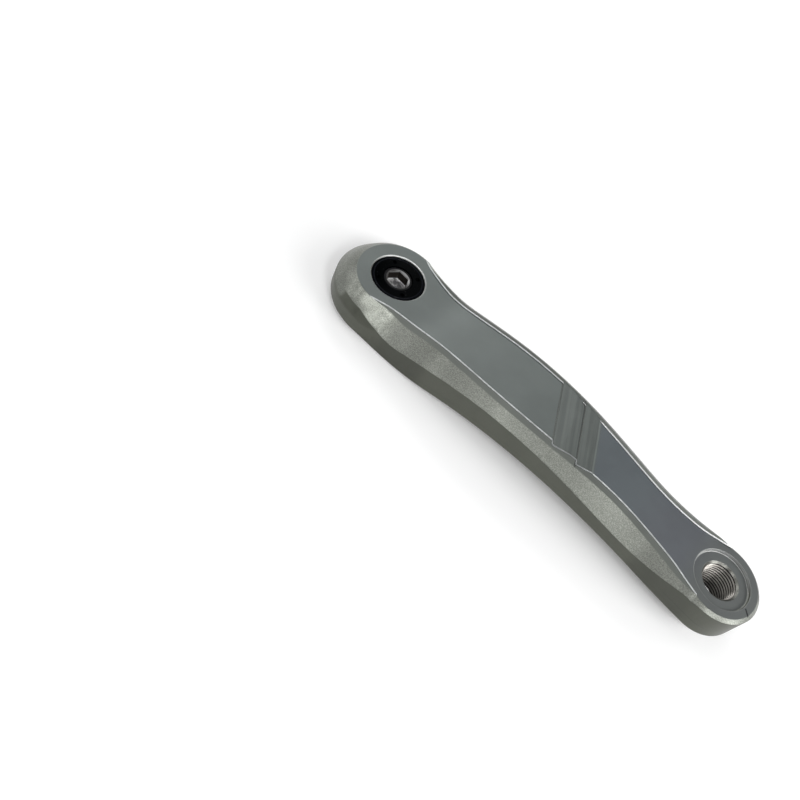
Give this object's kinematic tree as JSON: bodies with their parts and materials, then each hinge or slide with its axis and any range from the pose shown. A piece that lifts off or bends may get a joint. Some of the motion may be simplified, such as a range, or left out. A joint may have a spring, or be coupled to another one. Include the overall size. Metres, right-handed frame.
{
  "type": "bicycle crank arm",
  "caption": "Forged left crank arm with a bored and seated pedal eye, a splined spindle boss, and a captive crank bolt under a screwed extractor cap.",
  "frame": {"origin": "on the spindle axis, in the plane of the inboard boss face", "axes": "+X along the arm to the pedal axis, +Z outboard along the spindle axis"},
  "size_m": [0.1992, 0.047, 0.0245],
  "materials": {
    "arm_metal": "grey anodised, fine satin faces and blasted chamfers",
    "cap_black": "glossy black anodised",
    "washer_steel": "plain",
    "washer_plastic": "plain",
    "bolt_steel": "dark, lightly worn"
  },
  "bodies": {
    "arm": {"crank_arm": "arm_metal", "extractor_cap": "cap_black", "thrust_washer": "washer_steel", "glide_washer": "washer_plastic"},
    "bolt": {"crank_bolt": "bolt_steel"}
  },
  "joints": [
    {"name": "bolt_spin", "type": "hinge", "parent": "arm", "child": "bolt", "pos_m": [0, 0, 0.008], "axis": [0, 0, 1], "continuous": true}
  ]
}
